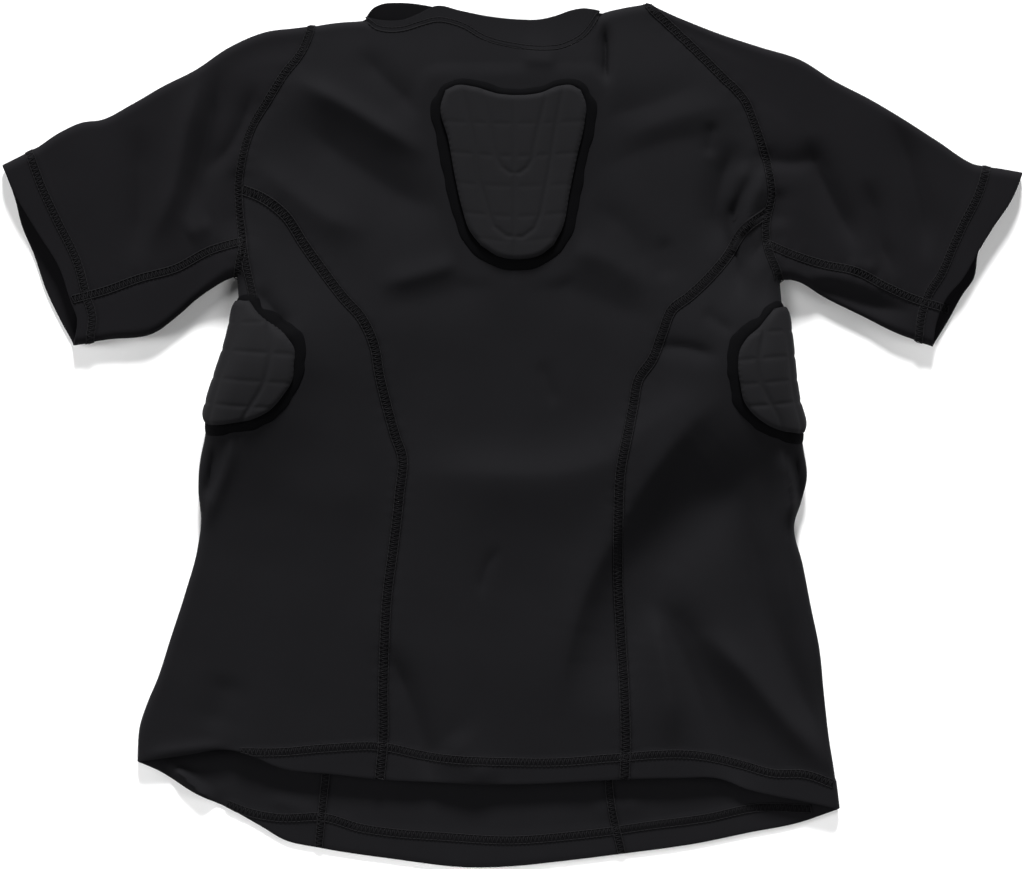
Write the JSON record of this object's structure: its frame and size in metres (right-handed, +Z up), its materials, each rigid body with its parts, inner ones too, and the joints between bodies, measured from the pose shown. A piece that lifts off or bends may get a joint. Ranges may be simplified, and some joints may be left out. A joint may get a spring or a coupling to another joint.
{
  "type": "padded compression shirt",
  "caption": "Short-sleeved stretch knit shirt laid flat, with quilted pads at the chest and over the ribs, panelled sides and a longer back hem.",
  "frame": {"origin": "middle of the shirt's outline, on the flat surface under the back layer", "axes": "+Y toward the neck, +Z up from the surface through back and front, +X toward the sleeve at the right of a viewer who looks down with the neck at the top"},
  "size_m": [0.8174, 0.6928, 0.0414],
  "materials": {
    "shirt_knit": "dark charcoal smooth stretch knit with a soft low sheen",
    "pad_fabric": "charcoal padded knit, quilted in soft cells",
    "binding_tape": "near-black matt stretch binding"
  },
  "bodies": {
    "root": {"front_panel": "shirt_knit", "back_panel": "shirt_knit", "side_panel_left": "shirt_knit", "side_panel_right": "shirt_knit", "sleeve_left": "shirt_knit", "sleeve_right": "shirt_knit", "neckband": "shirt_knit", "chest_pad": "pad_fabric", "rib_pad_left": "pad_fabric", "rib_pad_right": "pad_fabric", "chest_pad_binding": "binding_tape", "rib_pad_binding_left": "binding_tape", "rib_pad_binding_right": "binding_tape"}
  },
  "joints": []
}
